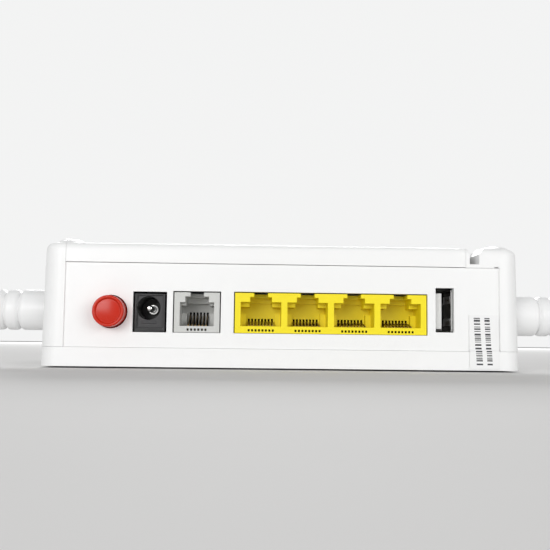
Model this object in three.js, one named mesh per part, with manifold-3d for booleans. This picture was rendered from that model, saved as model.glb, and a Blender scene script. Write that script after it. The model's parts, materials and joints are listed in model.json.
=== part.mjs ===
// Optical network terminal: desk-top casing with a rear port panel and two side antennas.
// Millimetres, +Z up. The port panel faces -Y. Inside the device group y = 0 is the casing's
// rear face and z = 0 is its underside; the feet reach below that.
import * as THREE from "three";
import { mergeVertices } from "three/addons/utils/BufferGeometryUtils.js";
import Module from "manifold-3d";

const wasm = await Module();
wasm.setup();

// ---- Driving dimensions -------------------------------------------------------------------
const GAP = 0.3;
const CASE = {
  widthLow: 145, widthHigh: 144.1, depth: 176, height: 37, wall: 2,
  rearCorner: 6, frontCorner: 12, topEdge: 2.2, brow: 9,
};
const SEAM = { lower: 5.7, lowerWidth: 0.05, upper: 31, upperWidth: 0.14, upright: 0.05 };
const PANEL = { left: -65, right: 65.5, inset: 0.5, nick: [1.5, 0.35] };
const WALL_BACK = PANEL.inset + CASE.wall;
const TOWER = { left: -65, right: 59.4, depth: 30, step: 0.5 };
const SLOT = { left: 56.5, lip: 1.2, floor: 32 };
const HATCH = { left: 25.5, right: 59.4, near: 13, far: 78, thick: 1.9 };
const TRAY = { near: 18.5, far: 77.5, floor: 12, wall: 1.2, post: [35.5, 34] };
const HUMPS = {
  y: 14.2, reach: 13, sunk: 0.6,
  left: { x: -65.4, half: 4.8, rise: 2.8 }, right: { x: 66.6, half: 5.2, rise: 2.4 },
};
const FOOT = { height: 0.5, radius: 5.5, sunk: 0.6, x: 50, near: 16, far: 158 };
const BOARD = { halfWidth: 60.5, near: 3.2, far: 149, top: 10.1, thick: 1.6 };
const JACK_FLOOR = BOARD.top + GAP;
const JACK_FACE = PANEL.inset + 0.2;
const POWER = { x: -51.3, z: 16.3, hole: 5, cap: 4.65, proud: 4.6 };
const DC = { x: -39.7, width: 9, height: 11.4, depth: 16.4, hole: 3.5, holeX: -40.1, holeZ: 17.5 };
const PHONE = {
  x: -25.7, pitch: 14, ports: 1, side: 1.7, lip: 1.9, cavity: [10.2, 7.1], step: [7, 1.7],
  notch: [4, 1.25], ledge: 0.8, depth: 15.5, back: 12.4, wires: 6, wirePitch: 1.06,
  comb: [2.1, 6.4],
};
const LAN = {
  x: 14.5, pitch: 14.03, ports: 4, side: 1.75, lip: 2.07, cavity: [12.15, 7.25], step: [6.5, 1.5],
  notch: [4.15, 1.2], ledge: 1.3, depth: 15.5, back: 11.4, wires: 8, wirePitch: 1.03,
  comb: [2.6, 4.6],
};
const USB = { x: 48.9, low: 11.4, high: 24.5, width: 5.7, near: 3, far: 17.4, sheet: 0.35 };
const AERIAL = {
  y: 15, z: 17, shaft: 4.2, inner: 66.7, flange: 72.7, collarEnd: 81.4, rings: 3, ringPitch: 4.5,
  radius: 6.3, elbow: 103, blade: 165, bladeWidth: 14, bladeThick: 8, tongue: 5, pin: 1.5,
};
const FIBRE = { x: 42, z: 19, near: 66, far: 82 };
const SIDE_KEYS = { wlan: 112, wps: 126, reset: 138, z: 16.5 };

// ---- Finishes -----------------------------------------------------------------------------
const finish = (color, roughness = 0.5, metalness = 0) =>
  new THREE.MeshStandardMaterial({ color, roughness, metalness });
const SHELL = finish(0xf4f4f2, 0.42);
const RED = finish(0xd3161c, 0.3);
const BLACK = finish(0x1b1b1d, 0.45);
const GREY = finish(0xd9dad6, 0.5);
const YELLOW = finish(0xf2e01e, 0.42);
const STEEL = finish(0xc9ccd0, 0.28, 1);
const GOLD = finish(0xd9a83a, 0.3, 1);
const WHITE = finish(0xeeeeea, 0.5);
const RUBBER = finish(0x6f7072, 0.85);
const GREEN = finish(0x1f6b3a, 0.5);
const BLUE = finish(0x2463b4, 0.45);
const PAPER = finish(0xf7f7f5, 0.6);
const CHIP = finish(0x26272a, 0.6);
const ALUMINIUM = finish(0xb9bcc0, 0.4, 1);
const CLEAR = finish(0xe6eef2, 0.15);

// ---- Solids from three.js geometry ----------------------------------------------------------
function solid(geometry) {
  geometry.deleteAttribute("normal");
  geometry.deleteAttribute("uv");
  const welded = mergeVertices(geometry, 1e-4);
  const corners = welded.index.array;
  const faces = [];
  for (let i = 0; i < corners.length; i += 3) {
    const [a, b, c] = corners.slice(i, i + 3);
    if (a !== b && b !== c && c !== a) faces.push(a, b, c);
  }
  return new wasm.Manifold(new wasm.Mesh({
    numProp: 3,
    vertProperties: new Float32Array(welded.attributes.position.array),
    triVerts: new Uint32Array(faces),
  }));
}

const joined = (bodies) => bodies.reduce((sum, body) => sum.add(body));
const cut = (body, tools) => tools.reduce((rest, tool) => rest.subtract(tool), body);

function block([x0, x1], [y0, y1], [z0, z1]) {
  const box = new THREE.BoxGeometry(x1 - x0, y1 - y0, z1 - z0);
  return solid(box.translate((x0 + x1) / 2, (y0 + y1) / 2, (z0 + z1) / 2));
}

// A round bar along axis x, y or z; at = its two other coordinates, in x, y, z order.
function rod(axis, radius, [from, to], at, sides = 24) {
  const bar = new THREE.CylinderGeometry(radius, radius, to - from, sides);
  const middle = (from + to) / 2;
  if (axis === "x") bar.rotateZ(-Math.PI / 2).translate(middle, at[0], at[1]);
  if (axis === "y") bar.translate(at[0], middle, at[1]);
  if (axis === "z") bar.rotateX(Math.PI / 2).translate(at[0], at[1], middle);
  return solid(bar);
}

// A turned piece: points are [radius, distance along the axis], from axis to axis.
function turned(axis, points, [x, y, z], sides = 24) {
  const lathe = new THREE.LatheGeometry(points.map(([r, t]) => new THREE.Vector2(r, t)), sides);
  if (axis === "x") lathe.rotateZ(-Math.PI / 2);
  if (axis === "z") lathe.rotateX(Math.PI / 2);
  return solid(lathe.translate(x, y, z));
}

function polygon(points) {
  return new THREE.Shape(points.map(([u, v]) => new THREE.Vector2(u, v)));
}

// The outline as straight steps, without the doubled points where a line meets an arc.
function stepped(shape, steps) {
  const points = shape.getPoints(steps);
  return new THREE.Shape(points.filter((point, i) =>
    point.distanceTo(points[(i + 1) % points.length]) > 1e-3));
}

// Outlines drawn in (y, z) and pushed along X, or drawn in (x, z) and pushed along Y.
function alongX(shape, [x0, x1], steps = 6) {
  const bar = new THREE.ExtrudeGeometry(stepped(shape, steps), { depth: x1 - x0, bevelEnabled: false });
  const turn = new THREE.Matrix4().makeBasis(
    new THREE.Vector3(0, 1, 0), new THREE.Vector3(0, 0, 1), new THREE.Vector3(1, 0, 0));
  return solid(bar.applyMatrix4(turn).translate(x0, 0, 0));
}

function alongY(shape, [y0, y1], steps = 6) {
  const bar = new THREE.ExtrudeGeometry(stepped(shape, steps), { depth: y1 - y0, bevelEnabled: false });
  return solid(bar.rotateX(Math.PI / 2).translate(0, y1, 0));
}

// A rectangle with rounded corners: radii for the low and the high end of the second axis.
function roundedShape([u0, u1], [v0, v1], low, high = low) {
  const shape = new THREE.Shape();
  shape.moveTo(u0 + low, v0);
  shape.lineTo(u1 - low, v0);
  shape.absarc(u1 - low, v0 + low, low, -Math.PI / 2, 0);
  shape.lineTo(u1, v1 - high);
  shape.absarc(u1 - high, v1 - high, high, 0, Math.PI / 2);
  shape.lineTo(u0 + high, v1);
  shape.absarc(u0 + high, v1 - high, high, Math.PI / 2, Math.PI);
  shape.lineTo(u0, v0 + low);
  shape.absarc(u0 + low, v0 + low, low, Math.PI, 1.5 * Math.PI);
  return shape;
}

// The casing's plan, pushed up, with filleted rims and the sides' slight inward lean.
const lean = (1 - CASE.widthHigh / CASE.widthLow) / CASE.height;
const halfWidthAt = (z) => (CASE.widthLow / 2) * (1 - lean * z);

function caseBlank(inset, [z0, z1], fillet, steps = 3) {
  const half = CASE.widthLow / 2 - inset;
  const plan = roundedShape([-half, half], [inset, CASE.depth - inset],
    Math.max(CASE.rearCorner - inset, 1), CASE.frontCorner - inset);
  const blank = new THREE.ExtrudeGeometry(stepped(plan, 5), {
    depth: z1 - z0 - 2 * fillet, bevelEnabled: fillet > 0, bevelThickness: fillet,
    bevelSize: fillet, bevelOffset: -fillet, bevelSegments: steps,
  });
  blank.translate(0, 0, z0 + fillet);
  const place = blank.attributes.position;
  for (let i = 0; i < place.count; i++) place.setX(i, place.getX(i) * (1 - lean * place.getZ(i)));
  return solid(blank);
}

// The side view: a rounded brow along the top of the front.
function sideView(inset) {
  const radius = CASE.brow - inset;
  const front = CASE.depth - inset;
  const top = CASE.height - inset;
  const shape = new THREE.Shape();
  shape.moveTo(-5, -5);
  shape.lineTo(front, -5);
  shape.lineTo(front, top - radius);
  shape.absarc(front - radius, top - radius, radius, 0, Math.PI / 2);
  shape.lineTo(-5, top);
  return alongX(shape, [-90, 90], 6);
}

const WIDE = [-90, 90];
const DEEP = [-10, 200];
const outerCase = caseBlank(0, [-10, CASE.height], CASE.topEdge)
  .intersect(block(WIDE, DEEP, [0, 60])).intersect(sideView(0));
const innerCase = caseBlank(CASE.wall, [CASE.wall, CASE.height - CASE.wall], 0)
  .intersect(sideView(CASE.wall));

// A ring that follows the casing's wall on the inside, to close the seams against light.
function seamRing([outer, inner], heights) {
  return caseBlank(outer, heights, 0).subtract(caseBlank(inner, [heights[0] - 1, heights[1] + 1], 0));
}

// ---- Scene tree ---------------------------------------------------------------------------
const device = new THREE.Group();
device.position.set(0, POWER.proud - (CASE.depth + POWER.proud) / 2, FOOT.height);

function part(name, body, material, parent = device) {
  const { vertProperties, triVerts } = body.getMesh();
  const geometry = new THREE.BufferGeometry();
  geometry.setAttribute("position", new THREE.BufferAttribute(vertProperties, 3));
  geometry.setIndex(new THREE.BufferAttribute(triVerts, 1));
  geometry.computeVertexNormals();
  const mesh = new THREE.Mesh(geometry, material);
  mesh.name = name;
  parent.add(mesh);
  return mesh;
}

// ---- Places shared by several pieces --------------------------------------------------------
const footSpots = [[-FOOT.x, FOOT.near], [FOOT.x, FOOT.near], [-FOOT.x, FOOT.far], [FOOT.x, FOOT.far]];
const caseScrews = [[-66.9, 33], [66.9, 33], [-61, 161], [61, 161]];
const boardScrews = [[-54, 96], [54, 96]];
const keySpots = [["wlan", SIDE_KEYS.wlan], ["wps", SIDE_KEYS.wps]];
const lamps = Array.from({ length: 8 }, (_, i) => -42 + i * 8.5);
const LAMP_ROW = { near: 143.2, far: 145.6 };
const sideVents = Array.from({ length: 12 }, (_, i) => 44 + i * 4.6);
const floorVents = Array.from({ length: 11 }, (_, i) => -35 + i * 7);

// ---- Casing -------------------------------------------------------------------------------
function bottomShell() {
  const rim = SEAM.lower - SEAM.lowerWidth / 2;
  const tray = outerCase.intersect(block(WIDE, DEEP, [-5, rim]))
    .subtract(innerCase);
  const posts = caseScrews.map(([x, y]) => rod("z", 4, [1, rim], [x, y], 20));
  const standoffs = boardScrews.map(([x, y]) =>
    rod("z", 3, [1, BOARD.top - BOARD.thick - GAP], [x, y], 16));
  const lip = cut(seamRing([CASE.wall + GAP, CASE.wall + 1.4], [1, SEAM.lower + 1.6]), [
    block([-71, 71], [-1, 6], [-1, 9]),
    ...caseScrews.map(([x, y]) => block([Math.min(x, x * 1.2), Math.max(x, x * 1.2)],
      [y - 4.4, y + 4.4], [SEAM.lower - 0.5, 9])),
  ]);
  const raised = joined([tray, ...posts, ...standoffs, lip]);
  return cut(raised, [
    ...caseScrews.map(([x, y]) => rod("z", 3.1, [-1, 3.2], [x, y], 20)),
    ...caseScrews.map(([x, y]) => rod("z", 1.7, [-1, 9], [x, y], 12)),
    ...boardScrews.map(([x, y]) => rod("z", 1.3, [3, 9], [x, y], 12)),
    ...footSpots.map(([x, y]) => rod("z", FOOT.radius + 0.25, [-1, FOOT.sunk], [x, y], 24)),
    ...floorVents.map((x) => block([x - 1.2, x + 1.2], [108, 140], [-1, 3])),
    block([-30.3, 30.3], [44.7, 85.3], [-1, 0.35]),
    ...[-44, 44].map((x) => keyhole(x, 92)),
  ]);
}

function keyhole(x, y) {
  return rod("z", 4, [-1, 3], [x, y], 20).add(block([x - 2, x + 2], [y, y + 9], [-1, 3]))
    .add(rod("z", 2, [-1, 3], [x, y + 9], 12));
}

function jackWindow(jack, margin) {
  const half = ((jack.ports - 1) * jack.pitch + jack.cavity[0]) / 2 + jack.side + margin;
  const top = JACK_FLOOR + jack.lip + jack.cavity[1] + jack.step[1] + jack.notch[1];
  return block([jack.x - half, jack.x + half], [-5, 12], [JACK_FLOOR - 0.12, top + margin]);
}

function mainShell() {
  const low = SEAM.lower + SEAM.lowerWidth / 2;
  const high = SEAM.upper - SEAM.upperWidth / 2;
  const sides = outerCase.intersect(block(WIDE, DEEP, [low, high]))
    .add(outerCase.intersect(block([SLOT.left, 80], [-5, WALL_BACK], [high - 1, SLOT.floor])))
    .add(outerCase.intersect(block([SLOT.left - SLOT.lip, SLOT.left], [-5, WALL_BACK], [high - 1, 50])))
    .subtract(innerCase.intersect(block(WIDE, [WALL_BACK, 200], [-5, 50])));
  const towerSolid = outerCase.intersect(joined([
    block([-80, TOWER.left], [-5, TOWER.depth], [high - 1, 50]),
    block([TOWER.right, 80], [-5, TOWER.depth], [high - 1, 50]),
  ]));
  const towerRoom = innerCase.intersect(
    block([TOWER.right + CASE.wall, 80], [WALL_BACK, TOWER.depth - CASE.wall], [-5, 50]));
  const posts = caseScrews.map(([x, y]) => rod("z", 3.6, [low, 24], [x, y], 20)
    .add(block([Math.min(x, Math.sign(x) * 71.2), Math.max(x, Math.sign(x) * 71.2)],
      [y - 1.2, y + 1.2], [low, 24])));
  const leftHump = hump(HUMPS.left).intersect(block([-80, TOWER.left], DEEP, [0, 50]));
  const body = joined([sides, towerSolid.subtract(towerRoom), hump(HUMPS.right), leftHump, ...posts]);
  const keys = keySpots.map(([, y]) => block([64, 80], [y - 4.4, y + 4.4],
    [SIDE_KEYS.z - 2.4, SIDE_KEYS.z + 2.4]));
  return cut(body, [
    block([PANEL.left, PANEL.right], [-5, PANEL.inset], [-5, high]),
    block([PANEL.right - PANEL.nick[0], PANEL.right - 0.2], [-5, 1.5], [high - 0.1, high + PANEL.nick[1]]),
    ...slotChamfers(),
    towerStep(),
    rod("y", POWER.hole, [-5, 8], [POWER.x, POWER.z], 28),
    block([DC.x - 5.05, DC.x + 5.05], [-5, 8], [JACK_FLOOR - 0.12, JACK_FLOOR + DC.height + 0.6]),
    jackWindow(PHONE, 0.35),
    jackWindow(LAN, 0.3),
    block([USB.x - 2.8, USB.x + 2.8], [-5, 8], [USB.low - 0.1, USB.high + 0.2]),
    rod("x", AERIAL.shaft + 0.3, [-80, 80], [AERIAL.y, AERIAL.z], 28),
    ...caseScrews.map(([x, y]) => rod("z", 1.7, [0, 16], [x, y], 12)),
    ...keys,
    rod("x", 1.2, [64, 80], [SIDE_KEYS.reset, SIDE_KEYS.z], 14),
    ...sideVents.map((y) => block(WIDE, [y, y + 2.2], [12, 24])),
  ]);
}

// The fibre slot's mouth: bevels on the lip and on the right rear corner.
function slotChamfers() {
  const top = CASE.height + 4;
  return [
    alongY(polygon([[SLOT.left + 1, 35], [SLOT.left + 1, top], [SLOT.left - 0.9, top],
      [SLOT.left - 0.9, 37.2], [SLOT.left, 35.9]]), [-5, WALL_BACK + 1]),
    alongY(polygon([[TOWER.right - 1, 35.2], [TOWER.right, 35.2], [TOWER.right + 2, 37.2],
      [TOWER.right + 2, top], [TOWER.right - 1, top]]), [-5, HATCH.near - 0.5]),
  ];
}

// The soft hump on top of each rear corner.
function hump({ x, half, rise }) {
  const dome = new THREE.SphereGeometry(1, 16, 8).scale(half, HUMPS.reach, rise);
  return solid(dome.translate(x, HUMPS.y, CASE.height - HUMPS.sunk))
    .intersect(block(WIDE, DEEP, [CASE.height - 1, 50]));
}

// The left rear corner stands a little further in above the upper seam.
function towerStep() {
  return block([-80, TOWER.step - halfWidthAt(SEAM.upper)], [-5, TOWER.depth + 1], [SEAM.upper - 1, 50]);
}

function topCover() {
  const low = SEAM.upper + SEAM.upperWidth / 2;
  const high = CASE.height;
  const lid = outerCase.intersect(block(WIDE, DEEP, [low, 50])).subtract(innerCase);
  const skirt = seamRing([CASE.wall + GAP, CASE.wall + 1.4], [low - 2, CASE.height - 1.5])
    .intersect(block(WIDE, [TOWER.depth + 2, 162], [0, 60]));
  const hingeBosses = [HATCH.near - 3, HATCH.far].map((y) =>
    block([HATCH.left - 1.5, HATCH.left + 4.5], [y, y + 3], [high - 4, high - 1]));
  const body = joined([lid, skirt, hump(HUMPS.left), ...hingeBosses]);
  return cut(body, [
    block([-80, TOWER.left + SEAM.upright], [-5, TOWER.depth + GAP], [0, 60]),
    block([SLOT.left - SLOT.lip - SEAM.upright, 80], [-5, WALL_BACK + 0.15], [0, 60]),
    block([SLOT.left, 80], [-5, HATCH.near + 1], [0, 60]),
    block([TOWER.right - GAP, 80], [-5, TOWER.depth + GAP], [0, 60]),
    block([HATCH.left, HATCH.right], [HATCH.near, HATCH.far], [high - 4.5, 60]),
    rod("y", 0.75, [HATCH.near - 1.4, HATCH.far + 1.4], hingeLine(), 12),
    rod("y", 6, [46, 54], [HATCH.right + 1, high + 4.6], 24),
    ...lamps.map((x) => block([x - 2.3, x + 2.3], [LAMP_ROW.near - 0.3, LAMP_ROW.far + 0.3], [30, 60])),
  ]);
}

function hingeLine() {
  return [HATCH.left + GAP + HATCH.thick / 2, CASE.height - HATCH.thick / 2];
}

function fibreDoor() {
  const [axisX, axisZ] = hingeLine();
  const low = CASE.height - HATCH.thick;
  const span = [HATCH.near + GAP, HATCH.far - GAP];
  const leaf = block([axisX, HATCH.right - GAP], span, [low, CASE.height]);
  const rib = block([axisX + 6, HATCH.right - 6], [46, 48], [low - 1, low + 0.5]);
  return joined([leaf, rib,
    rod("y", HATCH.thick / 2, span, [axisX, axisZ], 24),
    rod("y", 0.45, [HATCH.near - 1.1, HATCH.far + 1.1], [axisX, axisZ], 12)])
    .subtract(rod("y", 6, [46, 54], [HATCH.right + 1, CASE.height + 4.6], 24));
}

function fibreTray() {
  const { floor, wall } = TRAY;
  const tub = { x: [HATCH.left + 0.6, HATCH.right - 0.7], y: [TRAY.near, TRAY.far] };
  const rim = CASE.height - HATCH.thick - 1.5;
  const shelf = [SLOT.floor - 1.4, SLOT.floor - 0.4];
  const body = joined([
    block(tub.x, tub.y, [floor, rim]).subtract(block(
      [tub.x[0] + wall, tub.x[1] - wall], [tub.y[0] + wall, tub.y[1] - wall], [floor + wall, 60])),
    block(tub.x, [HATCH.near + 0.5, tub.y[0] + wall], shelf),
    block([SLOT.left - 1, tub.x[1]], [WALL_BACK + GAP, tub.y[0] + wall], [shelf[0], rim]),
    rod("z", 6, [floor, 27], TRAY.post, 20).subtract(rod("z", 4.6, [floor + wall, 60], TRAY.post, 20)),
  ]);
  return cut(body, [
    block([SLOT.left, 80], [0, tub.y[0] + wall + 1], [shelf[1], 60]),
    block([FIBRE.x - 6.8, FIBRE.x + 6.8], [tub.y[1] - 3, 90], [floor + wall, rim - 6]),
  ]);
}

function foot([x, y]) {
  return turned("z", [[0, 0], [FOOT.radius - 0.4, 0], [FOOT.radius, 0.4],
    [FOOT.radius, FOOT.height + FOOT.sunk - 0.1], [0, FOOT.height + FOOT.sunk - 0.1]],
  [x, y, -FOOT.height], 18);
}

// Pan-head screw, head down, with a crossed recess.
function screwUp([x, y], seat, length) {
  const body = turned("z", [[0, 0], [1.6, 0], [2.5, 0.5], [2.7, 1.1], [2.7, 1.7], [1.4, 1.7],
    [1.4, 1.7 + length], [0, 1.7 + length]], [x, y, seat - 1.7], 10);
  return cut(body, crossRecess(x, y, [seat - 2.5, seat - 0.9]));
}

function screwDown([x, y], seat, length) {
  const body = turned("z", [[0, -length], [1, -length], [1, 0], [2.5, 0], [2.5, 0.7], [1.6, 1.6],
    [0, 1.6]], [x, y, seat], 10);
  return cut(body, crossRecess(x, y, [seat + 0.8, seat + 2.5]));
}

function crossRecess(x, y, heights) {
  return [[1.4, 0.3], [0.3, 1.4]].map(([a, b]) => block([x - a, x + a], [y - b, y + b], heights));
}

function lightGuide() {
  const [first, last] = [lamps[0], lamps[lamps.length - 1]];
  const bar = block([first - 3, last + 3], [LAMP_ROW.near, LAMP_ROW.far], [28, 33]);
  const legs = lamps.map((x) => block([x - 1.6, x + 1.6], [LAMP_ROW.near, LAMP_ROW.far], [12, 29]));
  const heads = lamps.map((x) =>
    block([x - 2, x + 2], [LAMP_ROW.near, LAMP_ROW.far], [32, CASE.height - 0.15]));
  return joined([bar, ...legs, ...heads]);
}

part("bottom_shell", bottomShell(), SHELL);
part("main_shell", mainShell(), SHELL);
part("top_cover", topCover(), SHELL);
part("fibre_door", fibreDoor(), SHELL);
part("fibre_tray", fibreTray(), GREY);
part("light_guide", lightGuide(), CLEAR);
footSpots.forEach((spot, i) => part(`foot_${i + 1}`, foot(spot), RUBBER));
caseScrews.forEach((spot, i) => part(`case_screw_${i + 1}`, screwUp(spot, 2.95, 10), STEEL));

// ---- Board and what it carries ----------------------------------------------------------------
function circuitBoard() {
  const low = BOARD.top - BOARD.thick;
  const plate = block([-BOARD.halfWidth, BOARD.halfWidth], [BOARD.near, BOARD.far], [low, BOARD.top]);
  return cut(plate, [
    ...boardScrews.map(([x, y]) => rod("z", 1.5, [0, 20], [x, y], 14)),
    block([-80, -57], [-5, 21], [0, 20]),
    block([57, 80], [-5, 21], [0, 20]),
  ]);
}

// Chip, can and block bodies share one form: a plate with its upper edges chamfered.
function packageBody([x0, x1], [y0, y1], height, chamfer = 0.5) {
  const z0 = BOARD.top + GAP;
  const outline = polygon([[x0, z0], [x1, z0], [x1, z0 + height - chamfer],
    [x1 - chamfer, z0 + height], [x0 + chamfer, z0 + height], [x0, z0 + height - chamfer]]);
  return alongY(outline, [y0, y1]);
}

function heatSink() {
  const [x0, fins, pitch, thick] = [-22, 9, 4, 1.2];
  const z0 = BOARD.top + GAP + 2.2 + GAP;
  const profile = [[x0, z0], [x0 + (fins - 1) * pitch + thick, z0]];
  for (let i = fins - 1; i >= 0; i--) {
    const left = x0 + i * pitch;
    profile.push([left + thick, z0 + 10], [left, z0 + 10]);
    if (i > 0) profile.push([left, z0 + 2], [left - pitch + thick, z0 + 2]);
  }
  return alongY(polygon(profile), [54, 88]);
}

function capacitor(x, y) {
  return turned("z", [[0, 0], [4.6, 0], [4.6, 1.6], [4.2, 2], [4.6, 2.4], [4.6, 15.4], [4.1, 16],
    [0, 16]], [x, y, BOARD.top + GAP], 16);
}

part("circuit_board", circuitBoard(), GREEN);
boardScrews.forEach((spot, i) =>
  part(`board_screw_${["left", "right"][i]}`, screwDown(spot, BOARD.top + 0.1, 5), STEEL));
part("main_chip", packageBody([-17, 7], [59, 83], 2.2, 0.3), CHIP);
part("heat_sink", heatSink(), ALUMINIUM);
part("wifi_shield", packageBody([-56, -30], [52, 86], 3.2), STEEL);
part("lan_transformer", packageBody([-8, 24], [22, 36], 6), BLACK);
[[-50, 40], [-38, 40]].forEach(([x, y], i) =>
  part(`supply_capacitor_${i + 1}`, capacitor(x, y), CHIP));

// ---- Power switch and barrel jack ---------------------------------------------------------------
function powerButtonCap() {
  const r = POWER.cap;
  const tip = -POWER.proud;
  const body = turned("y", [[0, tip + 0.35], [r - 1.5, tip + 0.5], [r - 1.1, tip + 0.12], [r - 0.55, tip],
    [r - 0.1, tip + 0.3], [r, tip + 0.8], [r, WALL_BACK + 0.8], [r + 0.9, WALL_BACK + 0.8],
    [r + 0.9, WALL_BACK + 2], [0, WALL_BACK + 2]], [POWER.x, 0, POWER.z], 28);
  return body.subtract(block([POWER.x - 2, POWER.x + 2], [1, 9], [POWER.z - 2, POWER.z + 2]));
}

function powerSwitchBody() {
  return block([POWER.x - 4.4, POWER.x + 4.4], [10, 24], [JACK_FLOOR, POWER.z + 4.4])
    .subtract(block([POWER.x - 2, POWER.x + 2], [8, 19], [POWER.z - 2, POWER.z + 2]));
}

function dcJackHousing() {
  const [x0, x1] = [DC.x - DC.width / 2, DC.x + DC.width / 2];
  const body = block([x0, x1], [JACK_FACE, JACK_FACE + DC.depth], [JACK_FLOOR, JACK_FLOOR + DC.height]);
  const rear = block([x0 - 1, x1 + 1], [13.5, 30], [JACK_FLOOR + DC.height - 1.6, 40]);
  return cut(body, [rod("y", DC.hole, [-1, 13.4], [DC.holeX, DC.holeZ], 32),
    rod("y", 1.6, [10, 15.6], [DC.holeX, DC.holeZ], 16), rear]);
}

function dcJackPin() {
  return turned("y", [[0, 2.6], [0.7, 2.7], [1, 3.1], [1, 12.4], [1.65, 12.4], [1.65, 13.1], [1.2, 13.1],
    [1.2, 15.2], [0, 15.2]], [DC.holeX, 0, DC.holeZ], 16);
}

part("power_button_cap", powerButtonCap(), RED);
part("power_switch_plunger",
  block([POWER.x - 1.6, POWER.x + 1.6], [1.4, 14], [POWER.z - 1.6, POWER.z + 1.6]), WHITE);
part("power_switch_body", powerSwitchBody(), BLACK);
part("dc_jack_housing", dcJackHousing(), BLACK);
part("dc_jack_pin", dcJackPin(), STEEL);

// ---- Modular jacks ------------------------------------------------------------------------------
const portCentres = (jack) => Array.from({ length: jack.ports },
  (_, i) => jack.x + (i - (jack.ports - 1) / 2) * jack.pitch);
const wireSpots = (jack, centre) => Array.from({ length: jack.wires },
  (_, i) => centre + (i - (jack.wires - 1) / 2) * jack.wirePitch);
const CARRIER = { near: 5, far: 9, top: 1.25 };

function jackHousing(jack) {
  const half = ((jack.ports - 1) * jack.pitch + jack.cavity[0]) / 2 + jack.side;
  const floor = JACK_FLOOR + jack.lip;
  const [shoulder, bridge] = [floor + jack.cavity[1], floor + jack.cavity[1] + jack.step[1]];
  const top = bridge + jack.notch[1];
  const face = JACK_FACE;
  let body = block([jack.x - half, jack.x + half], [face, jack.depth], [JACK_FLOOR, top]);
  for (const x of portCentres(jack)) {
    const wide = jack.cavity[0] / 2;
    body = cut(body, [
      block([x - wide, x + wide], [-1, jack.back], [floor, shoulder]),
      block([x - jack.step[0] / 2, x + jack.step[0] / 2], [-1, 10], [floor + 1, bridge]),
      block([x - jack.notch[0] / 2, x + jack.notch[0] / 2], [-1, 7.5], [floor + 1, top + 1]),
    ]);
    const corner = (side, depth, heights) => block(
      side < 0 ? [x - wide - 0.5, x - wide + depth] : [x + wide - depth, x + wide + 0.5],
      [heights[2], jack.back + 0.5], heights.slice(0, 2));
    const trim = (wide - jack.step[0] / 2) * 0.92;
    body = joined([body, ...[-1, 1].flatMap((side) => [
      corner(side, trim, [shoulder - jack.ledge, shoulder + 0.4, 5.5]),
      corner(side, wide - (jack.wires * jack.wirePitch) / 2 - 0.35, [floor - 0.4, floor + 4, 8.6]),
    ])]);
    const carrier = (jack.wires * jack.wirePitch) / 2 + 0.3;
    body = cut(body, [
      block([x - carrier, x + carrier], [CARRIER.near - 0.3, CARRIER.far + 0.3],
        [JACK_FLOOR - 1, JACK_FLOOR + CARRIER.top + 0.15]),
      ...wireSpots(jack, x).flatMap((w) => [
        block([w - 0.27, w + 0.27], [-1, CARRIER.near], [JACK_FLOOR + 0.5, JACK_FLOOR + 1.15]),
        block([w - 0.27, w + 0.27], [face + 1.5, face + 3.2], [JACK_FLOOR + 0.5, floor + 0.5]),
        block([w - 0.29, w + 0.29], [jack.back - 1, jack.back + 2.4],
          [JACK_FLOOR + jack.comb[0], JACK_FLOOR + jack.comb[1]]),
      ]),
    ]);
  }
  return body;
}

// Spring wires that wrap the front lip and rise to the comb, on one carrier bar under the floor.
function contactInsert(jack, x) {
  const z = JACK_FLOOR;
  const front = JACK_FACE + 1.75;
  const rise = z + jack.comb[1] - 0.5;
  const end = jack.back + 0.8;
  const lip = z + jack.lip + 0.12;
  const wire = polygon([[CARRIER.near + 0.5, z + 0.65], [front, z + 0.65], [front, lip + 0.3],
    [end, rise], [end, rise - 0.32], [front + 0.32, lip - 0.1], [front + 0.32, z + 0.97],
    [CARRIER.near + 0.5, z + 0.97]]);
  const half = (jack.wires * jack.wirePitch) / 2;
  const carrier = block([x - half, x + half], [CARRIER.near, CARRIER.far], [z + 0.2, z + CARRIER.top]);
  return joined([carrier, ...wireSpots(jack, x).map((w) => alongX(wire, [w - 0.15, w + 0.15]))]);
}

part("phone_jack_housing", jackHousing(PHONE), GREY);
part("phone_jack_contacts", contactInsert(PHONE, PHONE.x), GOLD);
part("lan_jack_housing", jackHousing(LAN), YELLOW);
portCentres(LAN).forEach((x, i) => part(`lan_jack_contacts_${i + 1}`, contactInsert(LAN, x), GOLD));

// ---- USB-A port, upright ----------------------------------------------------------------------
function usbShell() {
  const half = USB.width / 2;
  const outer = alongY(roundedShape([USB.x - half, USB.x + half], [USB.low, USB.high], 0.6),
    [USB.near, USB.far], 3);
  const inner = alongY(roundedShape([USB.x - half + USB.sheet, USB.x + half - USB.sheet],
    [USB.low + USB.sheet, USB.high - USB.sheet], 0.4), [USB.near - 1, USB.far + 1], 3);
  return outer.subtract(inner);
}

function usbTongue() {
  const margin = USB.sheet + 0.25;
  const half = USB.width / 2 - margin;
  const back = block([USB.x - half, USB.x + half], [13.4, USB.far - 0.2],
    [USB.low + margin, USB.high - margin]);
  const left = USB.x - half + 0.15;
  return back.add(block([left, left + 1.85], [USB.near + 0.9, 14], [USB.low + 0.95, USB.high - 1.2]));
}

part("usb_shell", usbShell(), STEEL);
part("usb_tongue", usbTongue(), WHITE);

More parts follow.
